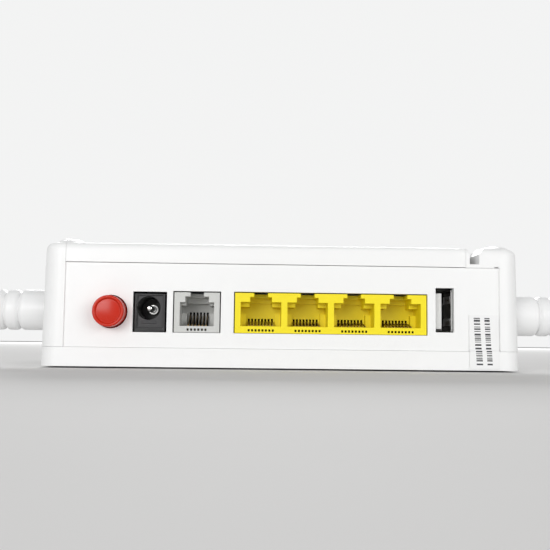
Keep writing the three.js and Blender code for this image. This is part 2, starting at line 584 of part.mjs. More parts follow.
// ---- Fibre side -----------------------------------------------------------------------------
function opticalAdapter() {
  const { x, z, near, far } = FIBRE;
  const body = block([x - 6.3, x + 6.3], [near, far], [z - 4.6, z + 4.6])
    .add(block([x - 6.3, x + 6.3], [near + 3, near + 5], [z - 5.4, z + 5.4]));
  const flat = block([x - 1.5, x + 1.5], [near - 1, near + 10], [z + 3, z + 5]);
  return cut(body, [block([x - 4.9, x + 4.9], [near - 1, near + 10], [z - 3.9, z + 3.9]), flat,
    rod("y", 2, [near, far + 1], [x, z], 16)]);
}

function dustPlug() {
  const { x, z, near } = FIBRE;
  return joined([
    alongY(roundedShape([x - 4.5, x + 4.5], [z - 3.5, z + 3.5], 0.6), [near - 2, near + 8.5], 2),
    alongY(roundedShape([x - 5.4, x + 5.4], [z - 4.4, z + 4.4], 1), [near - 3.4, near - 0.6], 2),
    alongY(roundedShape([x - 4, x + 4], [z - 2.4, z + 2.4], 1), [near - 8, near - 3], 2),
  ]).subtract(rod("y", 1.7, [near - 0.2, near + 9], [x, z], 16));
}

part("optical_adapter", opticalAdapter(), BLUE);
part("optical_dust_plug", dustPlug(), WHITE);
part("optical_module", packageBody([34.5, 49.5], [82.4, 112], 12, 0.8), STEEL);

// ---- Side keys ------------------------------------------------------------------------------
function sideKey(y) {
  const z = SIDE_KEYS.z;
  const wall = halfWidthAt(z);
  const cap = alongX(roundedShape([y - 4.1, y + 4.1], [z - 2.1, z + 2.1], 1.9), [65.6, wall + 0.9], 3);
  return cap.add(block([wall - CASE.wall - GAP - 2, wall - CASE.wall - GAP],
    [y - 5.2, y + 5.2], [z - 3.2, z + 3.2]));
}

function tactSwitch(y) {
  const z = BOARD.top + GAP;
  return block([54.5, 60], [y - 3, y + 3], [z, z + 8.2])
    .add(rod("x", 1.5, [59, 65], [y, SIDE_KEYS.z], 12));
}

function resetSwitch(y) {
  const z = BOARD.top + GAP;
  return block([54.5, 60], [y - 3, y + 3], [z, z + 8.2])
    .subtract(rod("x", 1.3, [57.5, 61], [y, SIDE_KEYS.z], 14));
}

keySpots.forEach(([name, y]) => part(`${name}_button`, sideKey(y), WHITE));
keySpots.forEach(([name, y]) => part(`${name}_switch`, tactSwitch(y), BLACK));
part("reset_switch", resetSwitch(SIDE_KEYS.reset), BLACK);
part("reset_plunger", rod("x", 1, [58.2, 69.2], [SIDE_KEYS.reset, SIDE_KEYS.z], 14), RED);

// ---- Antennas -------------------------------------------------------------------------------
// Each side is drawn for the right, about its own axis; the left side's group faces the other way.
// The elbow's own group turns with the blade.
function antennaBase() {
  const { shaft, inner, flange, collarEnd, rings, ringPitch, radius, elbow, tongue } = AERIAL;
  const profile = [[0, inner], [shaft - 0.5, inner], [shaft - 0.5, inner + 2], [shaft - 1.2, inner + 2],
    [shaft - 1.2, inner + 3.4], [shaft, inner + 3.4], [shaft, flange], [radius - 0.4, flange],
    [radius, flange + 0.4]];
  for (let i = 0; i <= rings; i++) {
    const groove = collarEnd + i * ringPitch;
    profile.push([radius, groove - 1.2], [radius - 0.35, groove - 0.45], [radius - 1, groove]);
    if (i < rings) profile.push([radius - 0.35, groove + 0.45], [radius, groove + 1.2]);
  }
  const ribsEnd = collarEnd + rings * ringPitch;
  profile.push([radius - 0.8, ribsEnd + 1], [0, ribsEnd + 1]);
  const neck = turned("x", profile, [0, 0, 0], 18);
  const cheeks = rod("y", radius, [-radius, radius], [elbow, 0], 20)
    .add(block([ribsEnd, elbow], [-radius, radius], [-radius + 0.8, radius - 0.8]))
    .subtract(block([elbow - radius - 1, 120], [-tongue / 2 - GAP, tongue / 2 + GAP], [-9, 9]));
  return neck.add(cheeks).subtract(rod("y", AERIAL.pin + 0.15, [-9, 9], [elbow, 0], 16));
}

function antennaBlade() {
  const { blade, bladeWidth, bladeThick, radius, tongue, pin } = AERIAL;
  const root = rod("y", radius - 0.2, [-tongue / 2, tongue / 2], [0, 0], 24)
    .add(block([-radius + 0.6, radius - 0.6], [-tongue / 2, tongue / 2], [0, 12]));
  const [edge, half] = [1.8, bladeWidth / 2];
  const paddle = roundedShape([-half, half], [radius + 1.6, blade], 3, half - 0.1);
  const plate = new THREE.ExtrudeGeometry(stepped(paddle, 5), {
    depth: bladeThick - 2 * edge, bevelEnabled: true, bevelThickness: edge, bevelSize: edge,
    bevelOffset: -edge, bevelSegments: 2,
  });
  plate.rotateX(Math.PI / 2).translate(0, bladeThick / 2 - edge, 0);
  const place = plate.attributes.position;
  for (let i = 0; i < place.count; i++) {
    place.setX(i, place.getX(i) * (1.06 - 0.2 * place.getZ(i) / blade));
  }
  return root.add(solid(plate)).subtract(rod("y", pin + 0.15, [-9, 9], [0, 0], 16));
}

function antennaRetainer() {
  const x = AERIAL.inner + 2.1;
  const ring = rod("x", 5.6, [x, x + 1.2], [0, 0], 24);
  const slot = block([x - 1, x + 3], [-1.6, 1.6], [0, 8]);
  return cut(ring, [rod("x", AERIAL.shaft - 0.9, [x - 1, x + 3], [0, 0], 20), slot]);
}

function antennaLead(side) {
  const x = AERIAL.inner - GAP - 0.1;
  const route = new THREE.CatmullRomCurve3([
    [x, AERIAL.y, AERIAL.z], [x - 1.6, AERIAL.y + 0.4, AERIAL.z], [x - 4.6, AERIAL.y + 4, AERIAL.z - 0.8],
    [60.1, 30, 13.4], [60.1, 48, 11.8], [60.1, 72, 11.7], [59.8, 80, 11.7], [57.1, 83.5, 11.7]]
    .map(([u, v, w]) => new THREE.Vector3(u * side, v, w)));
  const tube = new THREE.ExtrudeGeometry(new THREE.Shape().absarc(0, 0, 0.7, 0, 2 * Math.PI), {
    steps: 14, bevelEnabled: false, extrudePath: route, curveSegments: 4,
  });
  return solid(tube);
}

for (const [label, side] of [["left", -1], ["right", 1]]) {
  const axis = new THREE.Group();
  axis.position.set(0, AERIAL.y, AERIAL.z);
  axis.rotation.z = side < 0 ? Math.PI : 0;
  const elbow = new THREE.Group();
  elbow.position.set(AERIAL.elbow, 0, 0);
  axis.add(elbow);
  device.add(axis);
  part(`antenna_base_${label}`, antennaBase(), SHELL, axis);
  part(`antenna_blade_${label}`, antennaBlade(), SHELL, elbow);
  part(`antenna_pin_${label}`,
    rod("y", AERIAL.pin, [-AERIAL.radius + 0.3, AERIAL.radius - 0.3], [0, 0], 16), STEEL, elbow);
  part(`antenna_retainer_${label}`, antennaRetainer(), STEEL, axis);
  part(`antenna_lead_${label}`, antennaLead(side), BLACK);
}

// ---- Labels ---------------------------------------------------------------------------------
function sealLabel() {
  const thick = 0.16;
  const [band, wall] = [-0.1, PANEL.inset - 0.1];
  const seam = SEAM.lower;
  const profile = polygon([[band - thick, 0.4], [band, 0.4], [band, seam + 0.1], [wall, seam + 0.7],
    [wall, 16.7], [wall - thick, 16.7], [wall - thick, seam + 0.7], [band - thick, seam + 0.1]]);
  return alongX(profile, [56.2, 65.2]);
}

part("seal_label", sealLabel(), PAPER);
part("rating_label", block([-30, 30], [45, 85], [0.08, 0.26]), PAPER);

export default device;
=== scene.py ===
"""Looks of a desk-top optical network terminal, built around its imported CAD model.

Lengths are in millimetres until a mesh is made. Places come from the CAD nodes' boxes.
"""

import json
import math
import random

import bmesh
import bpy
from mathutils import Matrix, Vector


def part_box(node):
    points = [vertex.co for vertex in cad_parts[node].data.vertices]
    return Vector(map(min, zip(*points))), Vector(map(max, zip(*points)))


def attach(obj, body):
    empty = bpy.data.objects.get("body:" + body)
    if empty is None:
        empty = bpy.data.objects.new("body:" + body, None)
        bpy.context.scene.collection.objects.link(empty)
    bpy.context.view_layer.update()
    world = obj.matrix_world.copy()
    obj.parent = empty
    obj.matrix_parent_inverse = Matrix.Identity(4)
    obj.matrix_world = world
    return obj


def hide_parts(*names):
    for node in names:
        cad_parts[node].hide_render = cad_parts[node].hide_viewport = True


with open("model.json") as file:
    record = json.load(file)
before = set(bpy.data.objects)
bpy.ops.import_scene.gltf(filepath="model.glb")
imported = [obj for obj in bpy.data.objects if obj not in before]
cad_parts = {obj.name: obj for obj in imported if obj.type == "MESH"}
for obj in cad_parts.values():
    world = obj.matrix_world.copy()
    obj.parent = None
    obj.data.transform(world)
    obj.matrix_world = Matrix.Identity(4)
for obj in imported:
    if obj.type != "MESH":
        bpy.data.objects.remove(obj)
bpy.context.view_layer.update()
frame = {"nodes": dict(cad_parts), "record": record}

MM = 0.001
TAU = 2 * math.pi
SCENE = bpy.context.scene
RECORD = frame["record"]
SLOT_OF = {row["node"]: row["material_slot"] for row in RECORD["subparts"]}
BODY_OF = {node: body for body, nodes in RECORD["behaviour"]["bodies"].items() for node in nodes}


def span(node):
    """Lowest corner, highest corner and middle of a CAD node, in millimetres."""
    low, high = (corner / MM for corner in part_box(node))
    return low, high, (low + high) / 2


# ---- Camera ---------------------------------------------------------------------------------
REAR_FACE = span("main_shell")[0].y
# Place in millimetres, turns in degrees, lens and sensor width in millimetres.
CAMERA = {
    "place": (-9.7, REAR_FACE - 238.8, 7.8),
    "yaw": 1.73,
    "pitch": 4.92,
    "roll": -0.69,
    "lens": 52.3,
    "sensor": 36,
}


def make_camera():
    """A camera low behind the port panel, which looks slightly upward."""
    data = bpy.data.cameras.new("camera")
    data.sensor_width = CAMERA["sensor"]
    data.lens = CAMERA["lens"]
    data.clip_start = 0.01
    data.clip_end = 50
    camera = bpy.data.objects.new("camera", data)
    SCENE.collection.objects.link(camera)
    turn = (
        Matrix.Rotation(-math.radians(CAMERA["yaw"]), 4, "Z")
        @ Matrix.Rotation(math.radians(90 + CAMERA["pitch"]), 4, "X")
        @ Matrix.Rotation(-math.radians(CAMERA["roll"]), 4, "Z")
    )
    camera.matrix_world = Matrix.Translation(Vector(CAMERA["place"]) * MM) @ turn
    SCENE.camera = camera


make_camera()


# ---- Materials ------------------------------------------------------------------------------
class Nodes:
    """A material's node tree with short ways to add what every finish here uses."""

    def __init__(self, name):
        self.material = bpy.data.materials.new(name)
        self.material.use_nodes = True
        self.tree = self.material.node_tree
        self.tree.nodes.clear()
        self.shader = self.add("ShaderNodeBsdfPrincipled")
        self.out = self.add("ShaderNodeOutputMaterial")
        self.link(self.shader.outputs["BSDF"], self.out.inputs["Surface"])
        self.place = self.add("ShaderNodeTexCoord").outputs["Object"]

    def add(self, kind, **settings):
        node = self.tree.nodes.new(kind)
        for key, value in settings.items():
            setattr(node, key, value)
        return node

    def link(self, out, into):
        self.tree.links.new(out, into)

    def stretched(self, factors):
        """Object coordinates multiplied by factors."""
        mapping = self.add("ShaderNodeMapping")
        mapping.inputs["Scale"].default_value = factors
        self.link(self.place, mapping.inputs["Vector"])
        return mapping.outputs["Vector"]

    def noise(self, size, detail=3.0, rough=0.55, factors=None):
        """Noise whose patches are about size millimetres across."""
        node = self.add("ShaderNodeTexNoise")
        node.inputs["Scale"].default_value = 1 / (size * MM)
        node.inputs["Detail"].default_value = detail
        node.inputs["Roughness"].default_value = rough
        self.link(self.stretched(factors) if factors else self.place, node.inputs["Vector"])
        return node.outputs["Fac"]

    def cells(self, size):
        """Distance to the nearest of scattered points about size millimetres apart."""
        node = self.add("ShaderNodeTexVoronoi", feature="F1")
        node.inputs["Scale"].default_value = 1 / (size * MM)
        self.link(self.place, node.inputs["Vector"])
        return node.outputs["Distance"]

    def ranged(self, value, low, high, start=0.25, end=0.75):
        """value mapped from start and end to low and high, and held between them."""
        node = self.add("ShaderNodeMapRange")
        node.inputs["From Min"].default_value = start
        node.inputs["From Max"].default_value = end
        node.inputs["To Min"].default_value = low
        node.inputs["To Max"].default_value = high
        self.link(value, node.inputs["Value"])
        return node.outputs["Result"]

    def sum(self, a, b, operation="ADD"):
        """Sum of two sockets or numbers, or another operation on them."""
        node = self.add("ShaderNodeMath", operation=operation)
        for socket, value in zip(node.inputs, (a, b)):
            if isinstance(value, (int, float)):
                socket.default_value = value
            else:
                self.link(value, socket)
        return node.outputs["Value"]

    def blended(self, share, first, second):
        """Colour between first and second by share."""
        node = self.add("ShaderNodeMix", data_type="RGBA")
        self.link(share, node.inputs["Factor"])
        for socket, colour in ((node.inputs["A"], first), (node.inputs["B"], second)):
            if isinstance(colour, (tuple, list)):
                socket.default_value = (*colour, 1)
            else:
                self.link(colour, socket)
        return node.outputs["Result"]

    def edges(self, start=0.52, end=0.62):
        """1 on outer edges, 0 on flats."""
        point = self.add("ShaderNodeNewGeometry").outputs["Pointiness"]
        return self.ranged(point, 0, 1, start, end)

    def within(self, value, centre, reach):
        """1 where value is less than reach from centre."""
        distance = self.sum(self.sum(value, -centre), 0.0, "ABSOLUTE")
        return self.sum(distance, reach, "LESS_THAN")

    def axes(self):
        """Object coordinates as separate sockets X, Y and Z."""
        split = self.add("ShaderNodeSeparateXYZ")
        self.link(self.place, split.inputs["Vector"])
        return split.outputs

    def bars(self, line, centre, width, run, start, end, slant=0.0):
        """1 on a line of plain bars: line is the axis across it and run the axis along it."""
        axes = self.axes()
        across = self.sum(axes[line], 1 / MM, "MULTIPLY")
        along = self.sum(axes[run], 1 / MM, "MULTIPLY")
        if slant:
            across = self.sum(across, self.sum(along, slant, "MULTIPLY"))
        rank = self.add("ShaderNodeTexNoise", noise_dimensions="1D")
        rank.inputs["Scale"].default_value = 1.9
        rank.inputs["Detail"].default_value = 1.0
        self.link(along, rank.inputs["W"])
        bar = self.sum(rank.outputs["Fac"], 0.5, "GREATER_THAN")
        side = self.within(across, centre, width / 2)
        length = self.within(along, (start + end) / 2, (end - start) / 2)
        return self.sum(bar, self.sum(side, length, "MULTIPLY"), "MULTIPLY")

    def bump(self, height, strength, depth=0.02):
        """height as relief depth millimetres deep."""
        node = self.add("ShaderNodeBump")
        node.inputs["Strength"].default_value = strength
        node.inputs["Distance"].default_value = depth * MM
        self.link(height, node.inputs["Height"])
        self.link(node.outputs["Normal"], self.shader.inputs["Normal"])

    def set(self, **values):
        """Sets or links the shader's sockets, whose names have _ for a space here."""
        for key, value in values.items():
            socket = self.shader.inputs[key.replace("_", " ")]
            if isinstance(value, (int, float)):
                socket.default_value = value
            elif isinstance(value, (tuple, list)):
                socket.default_value = (*value, 1)
            else:
                self.link(value, socket)


def shades(colour, spread):
    """Two colours a little darker and lighter than colour."""
    return (
        tuple(max(0, channel * (1 - spread)) for channel in colour),
        tuple(min(1, channel * (1 + spread)) for channel in colour),
    )


def moulded(name, colour, rough=0.42, grain=0.16, relief=0.35, spread=0.015, gloss=0.5):
    """Injection-moulded plastic with fine grain, faint flow marks and slightly polished edges."""
    n = Nodes(name)
    flow = n.noise(38, 2.5, factors=(1, 0.45, 1))
    fine = n.noise(grain, 2.0, 0.7)
    pits = n.cells(grain * 2.4)
    dark, light = shades(colour, spread)
    n.set(Base_Color=n.blended(flow, dark, light))
    wide = n.ranged(n.noise(9, 3.0), rough - 0.05, rough + 0.05)
    worn = n.sum(n.edges(), -0.08, "MULTIPLY")
    n.set(Roughness=n.sum(n.sum(wide, n.ranged(fine, -0.03, 0.03)), worn))
    n.bump(n.sum(fine, n.sum(pits, 0.6, "MULTIPLY")), relief)
    n.set(IOR=1.49, Specular_IOR_Level=gloss)
    return n.material


def metal(name, colour, rough=0.28, streak=(1, 1, 1), spread=0.05, relief=0.15, grain=0.5):
    """Plated or drawn metal with streaks along the axis that streak stretches."""
    n = Nodes(name)
    drawn = n.noise(grain, 4.0, 0.6, factors=streak)
    cloudy = n.noise(6, 3.0)
    dark, light = shades(colour, spread)
    n.set(Base_Color=n.blended(cloudy, dark, light), Metallic=1.0)
    streaks = n.ranged(drawn, rough - 0.07, rough + 0.09)
    n.set(Roughness=n.sum(streaks, n.ranged(cloudy, -0.03, 0.05)))
    n.bump(drawn, relief, 0.01)
    return n.material


def rubber(name, colour):
    """Dull speckled rubber with a little dust."""
    n = Nodes(name)
    speckle = n.noise(0.35, 3.0, 0.7)
    dust = n.ranged(n.noise(3.2, 4.0), 0, 0.35, 0.5, 0.75)
    dark, light = shades(colour, 0.12)
    base = n.blended(speckle, dark, light)
    n.set(Base_Color=n.blended(dust, base, tuple(c + 0.1 for c in colour)))
    n.set(Roughness=n.ranged(speckle, 0.72, 0.92))
    n.bump(speckle, 0.6, 0.05)
    return n.material


def shaded_port_sheet(name, bright, dark, wall, mouth):
    """Tinned sheet in its own bright tone beyond X = wall and near Y = mouth, and painted dark
    elsewhere as shade.
    """
    n = Nodes(name)
    axes = n.axes()
    deep = n.ranged(axes["Y"], 0, 1, (mouth + 0.15) * MM, (mouth + 0.6) * MM)
    inward = n.ranged(axes["X"], 1, 0, (wall - 0.15) * MM, wall * MM)
    cloudy = n.noise(1.6, 4.0, 0.65)
    tones = [n.blended(cloudy, *shades(colour, 0.3)) for colour in (bright, dark)]
    n.set(Base_Color=n.blended(n.sum(deep, inward, "MAXIMUM"), *tones), Metallic=0.8)
    n.set(Roughness=n.ranged(cloudy, 0.24, 0.44))
    n.bump(cloudy, 0.15, 0.02)
    return n.material


def board_mask(name, colour):
    """Solder mask over copper: tracks show through as lighter lines between ground fill."""
    n = Nodes(name)
    brick = n.add("ShaderNodeTexBrick", offset=0.37, squash=0.6, squash_frequency=3)
    brick.inputs["Scale"].default_value = 150
    brick.inputs["Mortar Size"].default_value = 0.035
    brick.inputs["Color1"].default_value = (0, 0, 0, 1)
    brick.inputs["Color2"].default_value = (0.3, 0.3, 0.3, 1)
    brick.inputs["Mortar"].default_value = (1, 1, 1, 1)
    n.link(n.place, brick.inputs["Vector"])
    islands = n.ranged(n.cells(7), 0, 1, 0.2, 0.5)
    tracks = n.sum(brick.outputs["Fac"], islands, "MULTIPLY")
    _, light = shades(colour, 0.8)
    n.set(Base_Color=n.blended(tracks, colour, light))
    n.set(Roughness=n.ranged(n.noise(2, 3.0), 0.26, 0.4), Coat_Weight=0.4, Coat_Roughness=0.15)
    n.bump(n.sum(tracks, n.noise(0.3)), 0.3, 0.03)
    return n.material


def paper(name, colour, rows=()):
    """Film label with a satin texture; rows are lines of plain printed bars."""
    n = Nodes(name)
    fibres = n.noise(0.22, 3.0, 0.6, factors=(1, 1, 0.5))
    dark, light = shades(colour, 0.02)
    tone = n.blended(n.noise(5, 3.0), dark, light)
    for row in rows:
        tone = n.blended(n.bars(*row), tone, (0.045, 0.045, 0.05))
    n.set(Base_Color=tone, Roughness=n.ranged(fibres, 0.38, 0.55))
    n.bump(fibres, 0.25, 0.01)
    return n.material


def frosted(name, colour):
    """Frosted clear plastic."""
    n = Nodes(name)
    haze = n.noise(0.5, 3.0)
    dark, light = shades(colour, 0.04)
    n.set(Base_Color=n.blended(haze, dark, light), Roughness=n.ranged(haze, 0.22, 0.36))
    n.set(Transmission_Weight=0.35, IOR=1.49)
    n.bump(haze, 0.2, 0.01)
    return n.material


FINISHES = {
    "casing_white": moulded("satin_white_shell", (0.905, 0.908, 0.905), 0.4),
    "antenna_white": moulded("satin_white_antenna", (0.86, 0.862, 0.862), 0.38, grain=0.2),
    "tray_grey": moulded("light_grey_tray", (0.84, 0.845, 0.84), 0.5),
    "guide_clear": frosted("frosted_acrylic", (0.86, 0.9, 0.92)),
    "foot_rubber": rubber("grey_rubber", (0.1, 0.1, 0.105)),
    "screw_steel": metal("bright_steel", (0.62, 0.63, 0.65), 0.24),
    "port_steel": metal("tinned_sheet", (0.6, 0.605, 0.605), 0.3, streak=(1, 0.08, 1)),
    "board_green": board_mask("green_solder_mask", (0.012, 0.11, 0.035)),
    "chip_black": moulded("black_package", (0.018, 0.018, 0.02), 0.5, relief=0.6, spread=0.15),
    "heat_sink_metal": metal("extruded_aluminium", (0.66, 0.67, 0.69), 0.36, streak=(1, 0.05, 1)),
    "button_red": moulded("glossy_red", (0.57, 0.022, 0.006), 0.24, 0.3, 0.05, 0.05, gloss=0.35),
    "button_white": moulded("satin_white_key", (0.84, 0.84, 0.83), 0.36),
    "jack_black": moulded("black_jack", (0.012, 0.012, 0.013), 0.4, 0.2, 0.5, 0.15),
    "reset_red": moulded("red_pin", (0.42, 0.02, 0.015), 0.35),
    "jack_grey": moulded("light_grey_jack", (0.6, 0.605, 0.585), 0.44, 0.2, 0.3, 0.02),
    "jack_yellow": moulded("yellow_jack", (0.94, 0.78, 0.004), 0.5, 0.22, 0.3, 0.02),
    # The gold is darkened well below its own tone, as painted shade inside the jacks and the port.
    "contact_gold": metal("gold_plate_darkened_as_shade", (0.24, 0.15, 0.05), 0.36, relief=0.05),
    "insulator_white": moulded("off_white_insulator", (0.86, 0.86, 0.84), 0.42),
    "adapter_blue": moulded("blue_adapter", (0.02, 0.09, 0.42), 0.4),
    "lead_black": rubber("black_cable", (0.02, 0.02, 0.022)),
    "label_white": paper("blank_film", (0.86, 0.862, 0.86)),
}


# ---- Meshes ---------------------------------------------------------------------------------
# Points nearer than this are one point, in metres.
WELD = 1e-7


def as_object(name, mesh):
    """A new object for the mesh, in the scene."""
    piece = bpy.data.objects.new(name, mesh)
    SCENE.collection.objects.link(piece)
    return piece


def from_points(name, points, faces):
    """A mesh object from points in millimetres."""
    mesh = bpy.data.meshes.new(name)
    mesh.from_pydata([Vector(p) * MM for p in points], [], faces)
    shape = bmesh.new()
    shape.from_mesh(mesh)
    bmesh.ops.remove_doubles(shape, verts=shape.verts, dist=WELD)
    bmesh.ops.recalc_face_normals(shape, faces=shape.faces)
    shape.to_mesh(mesh)
    shape.free()
    return as_object(name, mesh)


# Each turns a shape that is built along +Z to lie along the named axis.
AXES = {
    "x": Matrix(((0, 0, 1), (1, 0, 0), (0, 1, 0))),
    "y": Matrix(((0, 1, 0), (0, 0, 1), (1, 0, 0))),
    "z": Matrix.Identity(3),
}


def lofted(name, rings):
    """A closed skin over rings of points; a ring of one point closes an end to a tip."""
    points, numbers, faces = [], [], []
    for ring in rings:
        numbers.append(range(len(points), len(points) + len(ring)))
        points.extend(ring)
    for low, high in zip(numbers, numbers[1:]):
        count = max(len(low), len(high))
        for i in range(count):
            j = (i + 1) % count
            below = [low[k % len(low)] for k in (i, j)]
            above = [high[k % len(high)] for k in (j, i)]
            faces.append(list(dict.fromkeys(below + above)))
    for end in (numbers[0], numbers[-1]):
        if len(end) > 2:
            faces.append(list(end))
    return from_points(name, points, faces)


def turned(name, profile, axis, centre, sides=64):
    """A turned solid: profile holds (radius, distance along the axis) from axis to axis."""
    rings = []
    for radius, along in profile:
        count = sides if radius > 1e-4 else 1
        turns = [TAU * i / count for i in range(count)]
        circle = [Vector((radius * math.cos(a), radius * math.sin(a), along)) for a in turns]
        rings.append([AXES[axis] @ point + Vector(centre) for point in circle])
    return lofted(name, rings)


def arc(centre, radius, start, end, steps=6):
    """Profile points on a quarter or other part of a circle, angles in degrees."""
    turns = [math.radians(start + (end - start) * i / steps) for i in range(steps + 1)]
    return [(centre[0] + radius * math.cos(a), centre[1] + radius * math.sin(a)) for a in turns]


def mirrored(points):
    """Half a profile of (radius, distance along), completed with its mirror image before it."""
    return [(radius, -along) for radius, along in points[::-1]] + points


def block(name, low, high):
    """A plain block, for cutting or for joining to a finer shape."""
    x, y, z = zip(low, high)
    points = [(x[i], y[j], z[k]) for i in (0, 1) for j in (0, 1) for k in (0, 1)]
    faces = [(0, 1, 3, 2), (4, 6, 7, 5), (0, 4, 5, 1), (2, 3, 7, 6), (0, 2, 6, 4), (1, 5, 7, 3)]
    return from_points(name, points, faces)


def moved(piece, matrix):
    """Moves the piece's points, so that the object itself stays at the origin."""
    piece.data.transform(matrix)
    return piece


def shift(x, y, z):
    """A move by millimetres."""
    return Matrix.Translation(Vector((x, y, z)) * MM)


def merged(name, pieces):
    """One object from several; the pieces are used up."""
    shape = bmesh.new()
    for piece in pieces:
        shape.from_mesh(piece.data)
        bpy.data.objects.remove(piece)
    mesh = bpy.data.meshes.new(name)
    shape.to_mesh(mesh)
    shape.free()
    return as_object(name, mesh)


def copied(node):
    """A CAD node's shape as a new object, with its doubled points welded."""
    piece = as_object(f"{node}_finish", frame["nodes"][node].data.copy())
    cleaned(piece.data)
    return piece


def settled(piece):
    """The object's mesh with its modifiers applied."""
    evaluated = piece.evaluated_get(bpy.context.evaluated_depsgraph_get())
    mesh = bpy.data.meshes.new_from_object(evaluated)
    piece.modifiers.clear()
    piece.data = mesh
    return piece


def combined(piece, tools, operation="DIFFERENCE"):
    """piece cut by, or joined to, each tool; the tools are used up."""
    for tool in tools:
        step = piece.modifiers.new("shape", "BOOLEAN")
        step.operation = operation
        step.solver = "EXACT"
        step.object = tool
        settled(piece)
        bpy.data.objects.remove(tool)
    return piece


def cleaned(mesh, merge=0.004):
    """Welds doubled points and drops the slivers between them."""
    shape = bmesh.new()
    shape.from_mesh(mesh)
    bmesh.ops.remove_doubles(shape, verts=shape.verts, dist=merge * MM)
    bmesh.ops.dissolve_degenerate(shape, edges=shape.edges, dist=merge * MM)
    shape.to_mesh(mesh)
    shape.free()


def softened(piece, width, limit=33, segments=2):
    """Rounds the sharp edges and gives large faces their own flat shading."""
    for polygon in piece.data.polygons:
        polygon.use_smooth = True
    bevel = piece.modifiers.new("edges", "BEVEL")
    bevel.width = width * MM
    bevel.segments = segments
    bevel.limit_method = "ANGLE"
    bevel.angle_limit = math.radians(limit)
    bevel.use_clamp_overlap = False
    normals = piece.modifiers.new("normals", "WEIGHTED_NORMAL")
    normals.mode = "FACE_AREA"
    normals.weight = 60
    normals.keep_sharp = False
    return piece


def shown(piece, node, *stands_for, slot=None):
    """Gives a piece its finish, its body and the CAD nodes that it stands for."""
    slot = slot or SLOT_OF[node]
    piece.data.materials.clear()
    piece.data.materials.append(FINISHES[slot])
    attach(piece, BODY_OF[node])
    if stands_for:
        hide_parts(*stands_for)
    return piece


def shade_painted(piece, colour, boxes):
    """Paints the faces that lie within any of the boxes, in millimetres, with a darker colour, as
    painted shade in recesses.
    """
    piece.data.materials.append(moulded(f"{piece.name}_painted_shade", colour, 0.55))
    for face in piece.data.polygons:
        centre = face.center / MM
        if any(all(a <= c <= b for a, c, b in zip(low, centre, high)) for low, high in boxes):
            face.material_index = 1
    return piece


def refined(node, width, limit=33, segments=2):
    """A CAD node's own shape with welded faces, rounded edges and even shading."""
    piece = copied(node)
    softened(piece, width, limit, segments)
    return shown(piece, node, node)


# ---- Casing ---------------------------------------------------------------------------------
def make_casing():
    for shell in ("bottom_shell", "main_shell", "top_cover"):
        refined(shell, 0.05)
    refined("fibre_door", 0.16)
    refined("fibre_tray", 0.15)
    refined("light_guide", 0.12)
    for node in ("wlan_button", "wps_button"):
        refined(node, 0.25, segments=3)
    refined("reset_plunger", 0.15)


def make_feet():
    """Soft pads with two moulded rings in the face that stands on the desk."""
    for i in range(1, 5):
        low, high, middle = span(f"foot_{i}")
        radius, top = (high.x - low.x) / 2, high.z - low.z
        profile = [(0, 0.05), (1.0, 0.05), (1.25, 0.3), (1.75, 0.3), (2.0, 0), (2.9, 0), (3.1, 0.3),
                   (3.6, 0.3), (3.8, 0)]
        profile += arc((radius - 0.5, 0.5), 0.5, -90, 0)
        profile += [(radius, top - 0.15), (radius - 0.15, top), (0, top)]
        foot = turned(f"foot_{i}_finish", profile, "z", (middle.x, middle.y, low.z), 56)
        shown(softened(foot, 0.06), f"foot_{i}", f"foot_{i}")


def thread(radius, start, end, pitch=0.8):
    """Profile points of a rolled thread from start to end along the axis."""
    points = []
    for i in range(int((end - start) / pitch)):
        at = start + i * pitch
        points += [(radius, at), (radius, at + pitch * 0.25), (radius - 0.22, at + pitch * 0.62)]
    return points + [(radius, end)]


def make_screws():
    """Round-headed screws with a cross recess; the board's screws point down."""
    case_screws = [f"case_screw_{i}" for i in range(1, 5)]
    for node in case_screws + ["board_screw_left", "board_screw_right"]:
        low, high, middle = span(node)
        downward = node.startswith("board")
        head, shank, height = (2.5, 1.0, 1.6) if downward else (2.7, 1.4, 1.7)
        length = high.z - low.z
        profile = [(0, 0), (head * 0.5, 0.06)] + arc((head - 1.1, 1.1), 1.1, -85, 0, 8)
        profile += [(head, height), (shank, height)] + thread(shank, height + 0.4, length - 0.8)
        profile += [(shank * 0.5, length), (0, length)]
        screw = turned(f"{node}_finish", profile, "z", (0, 0, 0), 48)
        arms = (1.35, 0.28), (0.28, 1.35)
        cross = [block("cross", (-a, -b, -1), (a, b, 0.95)) for a, b in arms]
        cone = turned("cone", [(0, -1), (0.75, -1), (0.75, 0.3), (0, 1.15)], "z", (0, 0, 0), 24)
        combined(screw, cross + [cone])
        turn = Matrix.Rotation(math.pi, 4, "X") if downward else Matrix.Identity(4)
        seat = high.z if downward else low.z
        moved(screw, shift(middle.x, middle.y, seat) @ turn)
        shown(softened(screw, 0.05), node, node)


# ---- Port panel -----------------------------------------------------------------------------
def make_power_button():
    """Glossy cap with a rolled rim round a slight dome."""
    low, high, middle = span("power_button_cap")
    reach = high.y - low.y
    flange, flange_depth = 0.9, 1.2
    radius = (high.x - low.x) / 2 - flange
    profile = [(0, 0.28), (1.2, 0.31), (2.4, 0.42), (3.2, 0.54), (3.5, 0.6)]
    profile += arc((radius - 0.52, 0.5), 0.5, -155, 0, 14)
    profile += [(radius, 1.1), (radius, reach - flange_depth),
                (radius + flange, reach - flange_depth), (radius + flange, reach), (0, reach)]
    cap = turned("power_button_cap_finish", profile, "y", (middle.x, low.y, middle.z), 96)
    combined(cap, [block("socket", (middle.x - 2, low.y + 5.6, middle.z - 2),
                         (middle.x + 2, high.y + 1, middle.z + 2))])
    shown(softened(cap, 0.06, 40), "power_button_cap", "power_button_cap")
    refined("power_switch_plunger", 0.15)
    refined("power_switch_body", 0.15)


